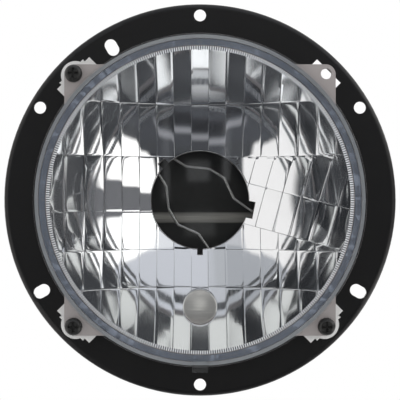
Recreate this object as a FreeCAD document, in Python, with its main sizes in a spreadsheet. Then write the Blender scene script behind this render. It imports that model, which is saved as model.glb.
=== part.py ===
import FreeCAD, Part
import math
import os

import Sketcher
from FreeCAD import Placement, Rotation, Vector

# Motorcycle headlight insert carried by three aiming screws in a pressed mounting ring.
# X is to the right, Z is up and the lamp shines towards -Y. The origin is the middle of the
# back of the ring's flat face, where the ring meets the lamp shell. All sizes are in mm.

doc = FreeCAD.newDocument("headlight")
sheet = doc.addObject("Spreadsheet::Sheet", "Sizes")

VALUES = [
    # overlap of joined blocks, and small clearances
    ("lap", 1.0),
    ("slack", 0.1),
    # mounting ring
    ("ring_r", 73.0),
    ("ring_t", 1.2),
    ("lip_bend", 2.0),
    ("lip_back", 6.0),
    ("ring_under", 2.5),
    ("bolt_edge", 4.35),
    ("bolt_hole_r", 2.25),
    ("slot_w", 4.5),
    ("low_slot_in", 0.75),
    ("low_slot_len", 6.4),
    ("up_slot_in", 3.15),
    ("up_slot_len", 6.5),
    ("nut_slot_len", 12.4),
    ("nut_slot_w", 5.6),
    # ears and flange of the reflector
    ("ear_inset", 7.95),
    ("ear_t", 2.8),
    ("ear_gap", 7.5),
    ("ear_hole_r", 2.0),
    ("bush_hole_r", 3.0),
    ("ear_edge", 3.4),
    ("flange_corner", 3.7),
    # reflector bowl
    ("focal", 22.4),
    ("aperture_rise", 0.7),
    ("skin", 1.0),
    ("bulb_r", 19.0),
    ("bowl_short", 2.56),
    ("bowl_back_r", 26.0),
    ("bowl_edge", 3.0),
    ("bowl_arc_r", 162.85),
    ("cavity_arc_r", 96.85),
    ("column", 6.6),
    ("flute_in", -0.06),
    ("flute_out", 0.08),
    ("step", 0.3),
    ("row_shift", 0.12),
    ("overlap", 0.35),
    ("cut_off_line", 4.4),
    ("row_side", 16.6),
    ("row_top", 36.0),
    ("row_mid", 19.0),
    ("row_low", 33.0),
    ("row_sector", 11.0),
    ("row_least", 2.0),
    ("sector_turn", 15.0),
    ("overrun", 2.0),
    # lens channel, neck and rear collar
    ("ear_clear", 5.05),
    ("channel_w", 2.5),
    ("rim_wall", 1.3),
    ("rim_rise", 2.6),
    ("inner_wall", 1.2),
    ("inner_rise", 1.0),
    ("neck_r", 24.0),
    ("neck_in", 3.56),
    ("neck_out", 2.94),
    ("collar_in_r", 31.0),
    ("collar_r", 33.0),
    ("collar_ahead", 10.56),
    ("collar_behind", 0.44),
    ("lower_key_w", 2.2),
    ("upper_key_w", 3.2),
    ("right_key_w", 6.6),
    ("key_deep", 2.2),
    ("lug_w", 9.0),
    ("lug_ahead", 4.56),
    ("hook_in", 25.5),
    ("hook_out", 27.6),
    ("hook_lip", 24.4),
    ("hook_t", 0.9),
    # closed parking lamp seat
    ("park_z", 40.0),
    ("park_r", 6.4),
    ("park_wall_r", 8.2),
    ("park_proud", 0.6),
    ("park_disc_t", 2.8),
    ("park_wall_rise", 9.1),
    ("park_draft", 6.0),
    ("park_core", 40.0),
    ("park_clear", 6.0),
    # lens and its seal
    ("lens_gap", 0.2),
    ("seal_t", 1.1),
    ("lens_t", 3.0),
    ("lens_lip", 0.4),
    ("lens_chamfer", 0.5),
    ("step_inset", 0.8),
    ("step_w", 1.5),
    ("step_rise", 2.0),
    ("dome_rise", 9.4),
    ("lens_slope", 1.8),
    ("lens_inset", 1.2),
    ("tab_w", 5.8),
    ("tab_out", 2.5),
    ("tab_t", 2.2),
    # screws, retainers, nuts and pivot bush
    ("head_r", 3.2),
    ("head_t", 2.5),
    ("head_top_r", 2.1),
    ("head_side", 1.1),
    ("head_arc_r", 1.9),
    ("screw_neck_r", 1.7),
    ("groove_r", 1.35),
    ("shank_r", 1.95),
    ("screw_tip", 12.0),
    ("tip_bevel", 0.7),
    ("cross_w", 0.9),
    ("cross_half", 1.9),
    ("cross_deep", 1.5),
    ("float_gap", 0.25),
    ("retainer_t", 0.8),
    ("retainer_r", 3.1),
    ("retainer_in_r", 1.42),
    ("retainer_mouth", 2.2),
    ("nut_head_t", 2.5),
    ("nut_half", 8.4),
    ("nut_out", 1.3),
    ("nut_in", 5.4),
    ("nut_lobe_r", 5.4),
    ("nut_fit", 0.2),
    ("barb", 0.8),
    ("barb_t", 1.6),
    ("nut_back", 8.0),
    ("nut_core_half", 4.5),
    ("nut_bore_r", 2.05),
    ("bush_r", 2.8),
    ("bush_bore_r", 1.9),
    ("bush_gap", 0.1),
    # bulb clip, bracket and small screw
    ("wire_r", 0.6),
    ("wire_gap", 0.15),
    ("bracket_t", 0.8),
    ("bracket_half", 3.4),
    ("bracket_in", 22.7),
    ("bracket_knee", 25.4),
    ("bracket_out", 30.8),
    ("pivot_r", 24.05),
    ("clip_screw_r", 28.4),
    ("clip_head_r", 2.1),
    ("clip_head_t", 1.5),
    ("clip_shank_r", 1.2),
    ("clip_shank_len", 5.0),
    ("pilot_fit", 0.02),
    ("wire_bend", 1.3),
    ("wire_end_near", 0.8),
    ("wire_end_far", 4.1),
    # rear cover
    ("cover_fit", 0.12),
    ("cover_wall", 2.0),
    ("cover_hold", 7.7),
    ("cover_deep", 31.7),
    ("cover_crown", 6.0),
    ("cover_cap_r", 29.0),
    ("cover_band_z", 7.2),
    ("cover_band_w", 4.6),
    ("cover_band_t", 1.2),
    ("cover_band_inset", 3.0),
    ("cover_bead", 1.0),
    ("cover_bead_w", 2.4),
    ("grip_half", 12.0),
    ("grip_w", 3.2),
    ("grip_t", 4.0),
]

DERIVED = [
    ("ring_flat_r", "=ring_r - lip_bend"),
    ("lip_in_r", "=ring_r - ring_t"),
    ("lip_root", "=lip_bend - ring_t"),
    ("bolt_r", "=ring_r - bolt_edge"),
    ("low_slot_r", "=bolt_r - low_slot_in"),
    ("up_slot_r", "=bolt_r - up_slot_in"),
    ("ear_r", "=ring_r - ear_inset"),
    ("ear_off", "=ear_r / sqrt(2)"),
    ("flange_half", "=ear_off + ear_edge"),
    ("rim_r", "=ear_r - ear_clear"),
    ("rim_in_r", "=rim_r - rim_wall"),
    ("ring_open_r", "=rim_r - ring_under"),
    ("inner_wall_r", "=rim_in_r - channel_w"),
    ("aperture_r", "=inner_wall_r - inner_wall"),
    ("bowl_edge_r", "=aperture_r + bowl_edge"),
    ("reach", "=aperture_r + overrun"),
    ("ear_back", "=ring_t + ear_gap"),
    ("ear_front", "=ear_back + ear_t"),
    ("ear_mid", "=ear_back + ear_t / 2"),
    ("flange_flat", "=flange_half - flange_corner"),
    ("vertex", "=aperture_r * aperture_r / (4 * focal) - ear_front - aperture_rise"),
    ("bowl_back", "=vertex - bowl_short"),
    ("neck_front", "=vertex - neck_in"),
    ("neck_back", "=vertex + neck_out"),
    ("collar_front", "=vertex - collar_ahead"),
    ("collar_rear", "=vertex + collar_behind"),
    ("lug_front", "=vertex - lug_ahead"),
    ("park_face", "=vertex - park_z * park_z / (4 * focal) - park_proud"),
    ("park_back", "=park_face + park_disc_t"),
    ("park_front", "=park_face - park_wall_rise"),
    ("sector_back", "=2 * step"),
    ("cavity_r", "=sqrt(4 * focal * (vertex - skin + ear_front))"),
    ("cavity_back", "=vertex - skin - bulb_r * bulb_r / (4 * focal)"),
    ("wire_y", "=neck_back + wire_r + wire_gap"),
    ("hook_start", "=wire_y + wire_r + wire_gap"),
    ("key_start", "=bulb_r - lap"),
    ("key_end", "=bulb_r + key_deep"),
    ("lug_in", "=neck_r - lap"),
    ("lug_len", "=neck_back - lug_front"),
    ("latch_rise", "=hook_start - neck_back"),
    ("park_wall_len", "=park_back - park_front"),
    ("park_sunk", "=park_face - park_front + park_clear"),
    ("rim_front", "=ear_front + rim_rise"),
    ("inner_front", "=ear_front + inner_rise"),
    ("lens_back", "=ear_front + seal_t"),
    ("lens_rim", "=lens_back + lens_t"),
    ("lens_bevel", "=lens_rim - lens_chamfer"),
    ("lens_r", "=rim_in_r - lens_gap"),
    ("lens_lip_r", "=rim_r + lens_lip"),
    ("lens_lip_back", "=rim_front + slack"),
    ("lens_bevel_r", "=lens_lip_r - lens_chamfer"),
    ("lens_root_r", "=aperture_r - lens_inset"),
    ("lens_in_r", "=lens_root_r - lens_slope"),
    ("step_in_r", "=aperture_r - step_inset"),
    ("step_out_r", "=step_in_r + step_w"),
    ("tab_r", "=rim_r + tab_out"),
    ("tab_in_r", "=lens_r - lap"),
    ("lens_step", "=lens_rim + step_rise"),
    ("lens_top", "=lens_step + dome_rise"),
    ("lens_in_side", "=lens_step - lens_t + slack"),
    ("lens_in_top", "=lens_top - lens_t"),
    ("notch_w", "=tab_w + 2 * lens_gap"),
    ("notch_in_r", "=rim_in_r - lap"),
    ("notch_out_r", "=rim_r + lap"),
    ("notch_deep", "=rim_front - lens_back"),
    ("tab_back", "=lens_back + slack"),
    ("seal_in_r", "=inner_wall_r + lens_gap"),
    ("seal_out_r", "=rim_in_r - lens_gap / 2"),
    ("head_back", "=ear_front + float_gap"),
    ("head_front", "=head_back + head_t"),
    ("head_edge", "=head_back + head_side"),
    ("retainer_front", "=ear_back - float_gap"),
    ("retainer_back", "=retainer_front - retainer_t"),
    ("groove_back", "=retainer_back - slack / 2"),
    ("mouth_end", "=retainer_r + lap"),
    ("nut_neck_len", "=ring_t + 3 * slack"),
    ("nut_neck_w", "=nut_slot_w / 2 - nut_fit"),
    ("nut_neck_half", "=nut_slot_len / 2 - nut_fit"),
    ("barb_half", "=nut_slot_len / 2 + barb"),
    ("tip_r", "=shank_r - tip_bevel"),
    ("tip_start", "=screw_tip - tip_bevel"),
    ("bush_front", "=ear_front - bush_gap"),
    ("bush_rear", "=ear_back + bush_gap"),
    ("bush_side_r", "=sqrt(bush_r ^ 2 - (ear_t / 2 - bush_gap) ^ 2)"),
    ("bracket_low", "=neck_back + bracket_t"),
    ("bracket_arch", "=wire_y + wire_r + wire_gap"),
    ("bracket_top", "=bracket_arch + bracket_t"),
    ("bracket_step", "=bracket_knee + bracket_t"),
    ("clip_head_top", "=bracket_low + clip_head_t"),
    ("clip_tip", "=bracket_low - clip_shank_len"),
    ("pilot_r", "=clip_shank_r + pilot_fit"),
    ("bracket_hole_r", "=clip_shank_r + slack"),
    ("bracket_w", "=2 * bracket_half"),
    ("cover_front", "=collar_rear - cover_hold"),
    ("cover_shoulder", "=cover_front + cover_deep"),
    ("cover_back", "=cover_shoulder + cover_crown"),
    ("cover_in_r", "=collar_r + cover_fit"),
    ("cover_r", "=cover_in_r + cover_wall"),
    ("cover_in_back", "=cover_back - cover_wall"),
    ("cover_in_shoulder", "=cover_shoulder - cover_wall / 2"),
    ("cover_cap_in_r", "=cover_cap_r - cover_wall / 2"),
    ("band_reach", "=cover_cap_in_r - cover_band_inset"),
    ("band_top", "=cover_band_z - cover_band_w / 2"),
    ("band_low", "=cover_band_z + cover_band_w / 2"),
    ("cover_bead_r", "=cover_r + cover_bead"),
    ("cover_bead_end", "=cover_front + cover_bead_w"),
]

for row, (alias, value) in enumerate(VALUES + DERIVED, start=1):
    sheet.set("A%d" % row, alias)
    sheet.set("B%d" % row, str(value))
    sheet.setAlias("B%d" % row, alias)
doc.recompute()


def size(alias):
    return float(sheet.get(alias))


def amount(token):
    """A coordinate as its number and the expression that drives it."""
    if isinstance(token, tuple):
        return token
    if token == "0":
        return 0.0, ""
    if token.startswith("-"):
        return -size(token[1:]), "-Sizes." + token[1:]
    return size(token), "Sizes." + token


def new_body(name):
    return doc.addObject("PartDesign::Body", name)


def origin_plane(body, role):
    return [item for item in body.Origin.OriginFeatures if item.Role == role][0]


def new_sketch(body, name, role, level="0", turn=0.0):
    """A sketch on an origin plane of its body, moved along the plane's normal and turned in it."""
    sketch = body.newObject("Sketcher::SketchObject", name)
    sketch.AttachmentSupport = [(origin_plane(body, role), "")]
    sketch.MapMode = "FlatFace"
    number, text = amount(level)
    sketch.AttachmentOffset = Placement(Vector(0, 0, number), Rotation(Vector(0, 0, 1), turn))
    if text:
        sketch.setExpression("AttachmentOffset.Base.z", text)
    return sketch


def drive(sketch, constraint, text):
    index = sketch.addConstraint(constraint)
    if text:
        sketch.setExpression("Constraints[%d]" % index, text)


def pin_point(sketch, geometry, position, u, v):
    """Ties one point of a sketch to the sheet."""
    (u_number, u_text), (v_number, v_text) = amount(u), amount(v)
    if u_text:
        drive(sketch, Sketcher.Constraint("DistanceX", -1, 1, geometry, position, u_number), u_text)
    else:
        sketch.addConstraint(Sketcher.Constraint("PointOnObject", geometry, position, -2))
    if v_text:
        drive(sketch, Sketcher.Constraint("DistanceY", -1, 1, geometry, position, v_number), v_text)
    else:
        sketch.addConstraint(Sketcher.Constraint("PointOnObject", geometry, position, -1))


def outline(sketch, points, arcs=None):
    """A closed outline. An arc is given as (radius, side), or as the axis its centre lies on."""
    arcs = arcs or {}
    places = []
    for u, v in points:
        places.append(Vector(amount(u)[0], amount(v)[0], 0))
    count = len(points)
    ends = []
    for index in range(count):
        start = places[index]
        stop = places[(index + 1) % count]
        if index not in arcs:
            geometry = sketch.addGeometry(Part.LineSegment(start, stop), False)
            ends.append((geometry, 1, 2))
            continue
        chord = stop - start
        across = Vector(-chord.y, chord.x, 0).normalize()
        kind, side = arcs[index]
        if kind == "half":
            radius = chord.Length / 2
        elif kind == "on_axis":
            rise = abs(chord.y)
            radius = (chord.x * chord.x + rise * rise) / (2 * rise)
        else:
            radius = amount(kind)[0]
        sag = radius - math.sqrt(max(radius * radius - chord.Length * chord.Length / 4, 0.0))
        middle = (start + stop) * 0.5 + across * (sag * side)
        geometry = sketch.addGeometry(Part.Arc(start, middle, stop), False)
        first = sketch.getPoint(geometry, 1)
        forward = (first - start).Length < (first - stop).Length
        ends.append((geometry, 1, 2) if forward else (geometry, 2, 1))
        if kind == "half":
            sketch.addConstraint(Sketcher.Constraint("Vertical", geometry, 3, geometry, 1))
        elif kind == "on_axis":
            sketch.addConstraint(Sketcher.Constraint("PointOnObject", geometry, 3, -2))
        else:
            drive(sketch, Sketcher.Constraint("Radius", geometry, radius), amount(kind)[1])
    for index in range(count):
        geometry, first, last = ends[index]
        following = ends[(index + 1) % count]
        sketch.addConstraint(
            Sketcher.Constraint("Coincident", geometry, last, following[0], following[1])
        )
    for index, (u, v) in enumerate(points):
        pin_point(sketch, ends[index][0], ends[index][1], u, v)


def circle(sketch, u, v, radius):
    number, text = amount(radius)
    centre = Vector(amount(u)[0], amount(v)[0], 0)
    geometry = sketch.addGeometry(Part.Circle(centre, Vector(0, 0, 1), number), False)
    drive(sketch, Sketcher.Constraint("Radius", geometry, number), text)
    pin_point(sketch, geometry, 3, u, v)


def half_of(alias, sign=1):
    """Half of a width, to one side or the other."""
    return sign * size(alias) / 2, "%d * Sizes.%s / 2" % (sign, alias)


def box_points(u_low, u_high, v_low, v_high):
    return [(u_low, v_low), (u_high, v_low), (u_high, v_high), (u_low, v_high)]


def spin(body, name, points, arcs=None, kind="PartDesign::Revolution"):
    """A turned shape about Y, from a section given as radius and depth."""
    sketch = new_sketch(body, name + "_section", "XY_Plane")
    outline(sketch, points, arcs)
    feature = body.newObject(kind, name)
    feature.Profile = sketch
    feature.ReferenceAxis = (sketch, ["V_Axis"])
    feature.Angle = 360
    feature.Refine = False
    return feature


def raise_pad(body, name, sketch, length, backward=False):
    feature = body.newObject("PartDesign::Pad", name)
    feature.Profile = sketch
    number, text = amount(length)
    feature.Length = number
    feature.setExpression("Length", text)
    feature.Reversed = backward
    feature.Refine = False
    return feature


def cut_through(body, name, sketch):
    feature = body.newObject("PartDesign::Pocket", name)
    feature.Profile = sketch
    feature.Type = "ThroughAll"
    feature.Midplane = True
    feature.Refine = False
    return feature


def cut_down(body, name, sketch, length, backward=False):
    feature = body.newObject("PartDesign::Pocket", name)
    feature.Profile = sketch
    number, text = amount(length)
    feature.Length = number
    feature.setExpression("Length", text)
    feature.Reversed = backward
    feature.Refine = False
    return feature


def around(alias, angle):
    """Both coordinates of a place on a circle about the lamp's axis."""
    radius = size(alias)
    turn = math.radians(angle)
    return (
        (radius * math.cos(turn), "Sizes.%s * cos(%g deg)" % (alias, angle)),
        (radius * math.sin(turn), "Sizes.%s * sin(%g deg)" % (alias, angle)),
    )


# Directions about the lamp's axis in degrees, counted from the right as seen from the front.
TOP, BOTTOM = 90, 270
UPPER_RIGHT, UPPER_LEFT, LOWER_LEFT, LOWER_RIGHT = 45, 135, 225, 315
BOLT_HOLES = (30, TOP, 150, BOTTOM)
LEFT_SLOT, RIGHT_SLOT, UPPER_SLOT = 210, 330, 120
RIGHT_KEY = 349

# Mounting ring: flat sheet with the outer lip turned back.
ring = new_body("mounting_ring")
spin(
    ring,
    "ring_sheet",
    [
        ("ring_open_r", "0"),
        ("ring_open_r", "-ring_t"),
        ("ring_flat_r", "-ring_t"),
        ("ring_r", "lip_root"),
        ("ring_r", "lip_back"),
        ("lip_in_r", "lip_back"),
        ("lip_in_r", "lip_root"),
        ("ring_flat_r", "0"),
    ],
    {2: ("lip_bend", -1), 6: ("lip_root", 1)},
)
holes = new_sketch(ring, "ring_holes_plan", "XZ_Plane")
for angle in BOLT_HOLES:
    hole_u, hole_v = around("bolt_r", angle)
    if angle in (TOP, BOTTOM):
        hole_u = "0"
    circle(holes, hole_u, hole_v, "bolt_hole_r")
cut_through(ring, "ring_holes", holes)


def radial_slot(name, angle, middle, length):
    """A round-ended slot that runs towards the lamp's axis."""
    plan = new_sketch(ring, name + "_plan", "XZ_Plane", "0", angle)
    half = (size(length) - size("slot_w")) / 2
    low = (size(middle) - half, "Sizes.%s - (Sizes.%s - Sizes.slot_w) / 2" % (middle, length))
    high = (size(middle) + half, "Sizes.%s + (Sizes.%s - Sizes.slot_w) / 2" % (middle, length))
    sides = half_of("slot_w", -1), half_of("slot_w")
    outline(plan, box_points(low, high, *sides), {1: ("half", -1), 3: ("half", -1)})
    cut_through(ring, name, plan)


radial_slot("left_slot", LEFT_SLOT, "low_slot_r", "low_slot_len")
radial_slot("right_slot", RIGHT_SLOT, "low_slot_r", "low_slot_len")
radial_slot("upper_slot", UPPER_SLOT, "up_slot_r", "up_slot_len")

nut_plan = new_sketch(ring, "nut_slot_plan", "XZ_Plane", "0", UPPER_RIGHT)
outline(
    nut_plan,
    box_points(
        (size("ear_r") - size("nut_slot_w") / 2, "Sizes.ear_r - Sizes.nut_slot_w / 2"),
        (size("ear_r") + size("nut_slot_w") / 2, "Sizes.ear_r + Sizes.nut_slot_w / 2"),
        half_of("nut_slot_len", -1),
        half_of("nut_slot_len"),
    ),
)
nut_slot = cut_through(ring, "nut_slot", nut_plan)
doc.recompute()
nut_slots = ring.newObject("PartDesign::PolarPattern", "nut_slots")
nut_slots.Originals = [nut_slot]
nut_slots.Axis = (origin_plane(ring, "Y_Axis"), [""])
nut_slots.Angle = 360
nut_slots.Occurrences = 4
nut_slots.Refine = False
ring.Tip = nut_slots

# Reflector: the flange with its ears, the bowl, then every facet of the mirror.
blank = new_body("reflector_blank")
flange = new_sketch(blank, "flange_plan", "XZ_Plane", "ear_back")
outline(
    flange,
    [
        ("-flange_flat", "-flange_half"),
        ("flange_flat", "-flange_half"),
        ("flange_half", "-flange_flat"),
        ("flange_half", "flange_flat"),
        ("flange_flat", "flange_half"),
        ("-flange_flat", "flange_half"),
        ("-flange_half", "flange_flat"),
        ("-flange_half", "-flange_flat"),
    ],
    {
        1: ("flange_corner", -1),
        3: ("flange_corner", -1),
        5: ("flange_corner", -1),
        7: ("flange_corner", -1),
    },
)
raise_pad(blank, "flange", flange, "ear_t")
spin(
    blank,
    "bowl_blank",
    [("0", "bowl_back"), ("0", "-ear_front"), ("bowl_edge_r", "-ear_front"), ("bowl_back_r", "bowl_back")],
    {2: ("bowl_arc_r", -1)},
)
park_wall = new_sketch(blank, "park_wall_plan", "XZ_Plane", "-park_back")
circle(park_wall, "0", "-park_z", "park_wall_r")
raise_pad(blank, "park_wall", park_wall, "park_wall_len")
spin(
    blank,
    "bowl_cavity",
    [("0", "cavity_back"), ("0", "-ear_front"), ("cavity_r", "-ear_front"), ("bulb_r", "cavity_back")],
    {2: ("cavity_arc_r", -1)},
    "PartDesign::Groove",
)
spin(
    blank,
    "bulb_opening",
    [("0", "neck_back"), ("0", "0"), ("bulb_r", "0"), ("bulb_r", "neck_back")],
    None,
    "PartDesign::Groove",
)

# Channel for the lens, neck for the bulb and collar for the rear cover.
spin(
    blank,
    "lens_channel",
    [
        ("aperture_r", "-ear_back"),
        ("aperture_r", "-inner_front"),
        ("inner_wall_r", "-inner_front"),
        ("inner_wall_r", "-ear_front"),
        ("rim_in_r", "-ear_front"),
        ("rim_in_r", "-rim_front"),
        ("rim_r", "-rim_front"),
        ("rim_r", "-ear_back"),
    ],
)
spin(blank, "neck", box_points("bulb_r", "neck_r", "neck_front", "neck_back"))
spin(blank, "collar", box_points("collar_in_r", "collar_r", "collar_front", "collar_rear"))


def lug(name, angle, radial, start, length):
    """A block of the reflector whose sides follow the radius at an angle, raised backwards."""
    plan = new_sketch(blank, name + "_plan", "XZ_Plane", "-" + start, angle)
    outline(plan, box_points(*radial, half_of("lug_w", -1), half_of("lug_w")))
    raise_pad(blank, name, plan, length, True)


lug("hinge_lug", UPPER_LEFT, ("lug_in", "collar_in_r"), "lug_front", "lug_len")
lug("latch_lug", LOWER_RIGHT, ("lug_in", "hook_out"), "lug_front", "lug_len")
lug("latch_post", LOWER_RIGHT, ("hook_in", "hook_out"), "neck_back", "latch_rise")
lug("latch_hook", LOWER_RIGHT, ("hook_lip", "hook_out"), "hook_start", "hook_t")

# Closed parking lamp seat: sunk below, standing proud above, as the bowl slopes through it.
park_sink = new_sketch(blank, "park_sink_plan", "XZ_Plane", "-park_face")
circle(park_sink, "0", "-park_z", "park_r")
sink = cut_down(blank, "park_sink", park_sink, "park_sunk", True)
sink.TaperAngle = size("park_draft")
park_disc = new_sketch(blank, "park_disc_plan", "XZ_Plane", "-park_back")
circle(park_disc, "0", "-park_z", "park_r")
raise_pad(blank, "park_disc", park_disc, "park_disc_t")

ear_holes = new_sketch(blank, "ear_holes_plan", "XZ_Plane")
circle(ear_holes, "-ear_off", "ear_off", "ear_hole_r")
circle(ear_holes, "ear_off", "ear_off", "ear_hole_r")
circle(ear_holes, "ear_off", "-ear_off", "ear_hole_r")
circle(ear_holes, "-ear_off", "-ear_off", "bush_hole_r")
cut_through(blank, "ear_holes", ear_holes)


def bulb_key(name, angle):
    """A notch in the bulb opening for one lug of the bulb's flange."""
    plan = new_sketch(blank, name + "_plan", "XZ_Plane", "0", angle)
    outline(plan, box_points("key_start", "key_end", half_of(name + "_w", -1), half_of(name + "_w")))
    cut_through(blank, name, plan)


bulb_key("upper_key", UPPER_LEFT)
bulb_key("lower_key", BOTTOM)
bulb_key("right_key", RIGHT_KEY)

notch = new_sketch(blank, "tab_notch_plan", "XZ_Plane", "rim_front")
outline(notch, box_points(half_of("notch_w", -1), half_of("notch_w"), "-notch_out_r", "-notch_in_r"))
cut_down(blank, "tab_notch", notch, "notch_deep")

pilot = new_sketch(blank, "pilot_plan", "XZ_Plane", "-neck_back", UPPER_LEFT)
circle(pilot, "clip_screw_r", "0", "pilot_r")
cut_down(blank, "pilot", pilot, "clip_shank_len", True)

# Mirror: every facet is a shallow flute turned about its own cross axis and cut from the bowl.
# The flutes are flatter than the parabola beside the bulb and more curved near the rim.
LAST_COLUMN = math.ceil(size("aperture_r") / size("column") - 0.5)
TOUCHING = 0.001
SKINS_CUT = 4


def mirror_depth(x, z):
    return size("vertex") - (x * x + z * z) / (4 * size("focal"))


def facet(column, low, high, turn, deep):
    """One facet's cutter, on the circle through three points of the parabola at its column."""
    pitch = size("column")
    flute = size("flute_in") + (size("flute_out") - size("flute_in")) * abs(column) / LAST_COLUMN
    x_mid = pitch * column
    left, right = x_mid - pitch / 2, x_mid + pitch / 2
    z_low, z_high = low - size("overlap"), high + size("overlap")
    spots = []
    for z in (z_low, (z_low + z_high) / 2, z_high):
        spots.append(Vector(0, mirror_depth(x_mid, z) + deep, z))
    circle_edge = Part.Arc(*spots).toShape()
    centre, radius = circle_edge.Curve.Center, circle_edge.Curve.Radius
    angles = []
    for spot in spots:
        way = spot - centre
        angles.append(math.degrees(math.atan2(way.z, way.y)))
    lean = math.cos(math.radians(angles[1]))
    fall = []
    for edge in (left, right):
        slope_fall = (x_mid * x_mid - edge * edge) / (4 * size("focal")) * lean
        fall.append(slope_fall - flute)
    inner = radius - SKINS_CUT * size("skin") - abs(fall[0] - fall[1])
    corners = [
        Vector(left, inner, 0),
        Vector(left, radius + fall[0], 0),
        Vector(x_mid, radius, 0),
        Vector(right, radius + fall[1], 0),
        Vector(right, inner, 0),
    ]
    section = Part.Wire(
        [
            Part.LineSegment(corners[0], corners[1]).toShape(),
            Part.Arc(corners[1], corners[2], corners[3]).toShape(),
            Part.LineSegment(corners[3], corners[4]).toShape(),
            Part.LineSegment(corners[4], corners[0]).toShape(),
        ]
    )
    tilt = Rotation(Vector(0, 1, 0), turn)
    lift = Rotation(Vector(1, 0, 0), angles[0])
    face = Part.Face(section)
    face.Placement = Placement(tilt.multVec(centre), tilt.multiply(lift))
    axis = tilt.multVec(Vector(1, 0, 0))
    return face.revolve(tilt.multVec(centre), axis, angles[2] - angles[0])


def span(column):
    """How far up the mirror reaches at a column."""
    nearest = max(abs(column) - 0.5, 0.0) * size("column")
    left = size("reach") ** 2 - nearest * nearest
    return math.sqrt(left) if left > 0 else 0.0


def depth_of(column, row):
    """No two facets that meet lie level, so every edge is a clean step."""
    return size("step") * ((column + row) % 2) + size("row_shift") * (row % 2)


line = size("cut_off_line")
side, top = size("row_side"), size("row_top")
mid, low = size("row_mid"), size("row_low")
least = size("row_least")
back = size("sector_back")
turn = size("sector_turn")
sector = math.radians(turn)
cutters = []
for column in range(-LAST_COLUMN, LAST_COLUMN + 1):
    limit = span(column)
    start = line if column <= 1 else line + math.tan(sector) * size("column") * column
    if column <= -2 and limit > side / 2:
        cutters.append(facet(column, -line, min(side, limit), 0.0, depth_of(column, 0)))
    if limit > side + least:
        cutters.append(facet(column, side, min(top, limit), 0.0, depth_of(column, 1)))
    if limit > top + least:
        cutters.append(facet(column, top, limit, 0.0, depth_of(column, 2)))
    if abs(column) >= 2 and limit > start + least:
        cutters.append(facet(column, -min(mid, limit), -start, 0.0, depth_of(column, 1)))
    if limit > mid + least:
        cutters.append(facet(column, -min(low, limit), -mid, 0.0, depth_of(column, 0)))
    if limit > low + least:
        cutters.append(facet(column, -limit, -low, 0.0, depth_of(column, 1)))
for column in range(2, LAST_COLUMN + 1):
    limit = span(column)
    split = min(size("row_sector"), limit)
    ceiling = (side + math.sin(sector) * size("column") * column) / math.cos(sector)
    cutters.append(facet(column, -line, split, turn, back + depth_of(column, 0)))
    if limit > split + least:
        cutters.append(facet(column, split, min(ceiling, limit), turn, back + depth_of(column, 1)))
park_core = Part.makeCylinder(
    size("park_r"), size("park_core"), Vector(0, size("park_face"), -size("park_z")), Vector(0, 1, 0)
)
for index, tool in enumerate(cutters):
    if tool.distToShape(park_core)[0] < TOUCHING:
        cutters[index] = tool.cut(park_core)
doc.recompute()
mirror = doc.addObject("Part::Feature", "reflector")
mirror.Shape = blank.Shape.cut(cutters)

# Lens with its foot in the channel, its lip over the channel's wall, its serrated step left plain,
# and the tab that keeps it from turning.
lens = new_body("lens")
spin(
    lens,
    "lens_glass",
    [
        ("0", "-lens_in_top"),
        ("lens_in_r", "-lens_in_side"),
        ("lens_root_r", "-lens_back"),
        ("lens_r", "-lens_back"),
        ("lens_r", "-lens_lip_back"),
        ("lens_lip_r", "-lens_lip_back"),
        ("lens_lip_r", "-lens_bevel"),
        ("lens_bevel_r", "-lens_rim"),
        ("step_out_r", "-lens_rim"),
        ("step_in_r", "-lens_step"),
        ("0", "-lens_top"),
    ],
    {0: ("on_axis", -1), 9: ("on_axis", 1)},
)
tab = new_sketch(lens, "lens_tab_plan", "XZ_Plane", "tab_back")
outline(tab, box_points(half_of("tab_w", -1), half_of("tab_w"), "-tab_r", "-tab_in_r"))
raise_pad(lens, "lens_tab", tab, "tab_t")

seal = new_body("lens_seal")
spin(seal, "seal_bead", box_points("seal_in_r", "seal_out_r", "-lens_back", "-ear_front"))

# Rear cover: a closed cap on the collar, with a thick front bead, a grip and one inner band.
cover = new_body("rear_cover")
spin(
    cover,
    "cover_shell",
    [
        ("cover_in_r", "cover_front"),
        ("cover_bead_r", "cover_front"),
        ("cover_bead_r", "cover_bead_end"),
        ("cover_r", "cover_bead_end"),
        ("cover_r", "cover_shoulder"),
        ("cover_cap_r", "cover_back"),
        ("0", "cover_back"),
        ("0", "cover_in_back"),
        ("cover_cap_in_r", "cover_in_back"),
        ("cover_in_r", "cover_in_shoulder"),
    ],
)
band = new_sketch(cover, "cover_band_plan", "XZ_Plane", "-cover_in_back")
outline(band, box_points("-band_reach", "band_reach", "-band_low", "-band_top"))
raise_pad(cover, "cover_band", band, "cover_band_t")
grip = new_sketch(cover, "cover_grip_plan", "XZ_Plane", "-cover_back")
outline(grip, box_points("-grip_half", "grip_half", half_of("grip_w", -1), half_of("grip_w")))
raise_pad(cover, "cover_grip", grip, "grip_t", True)

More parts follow.
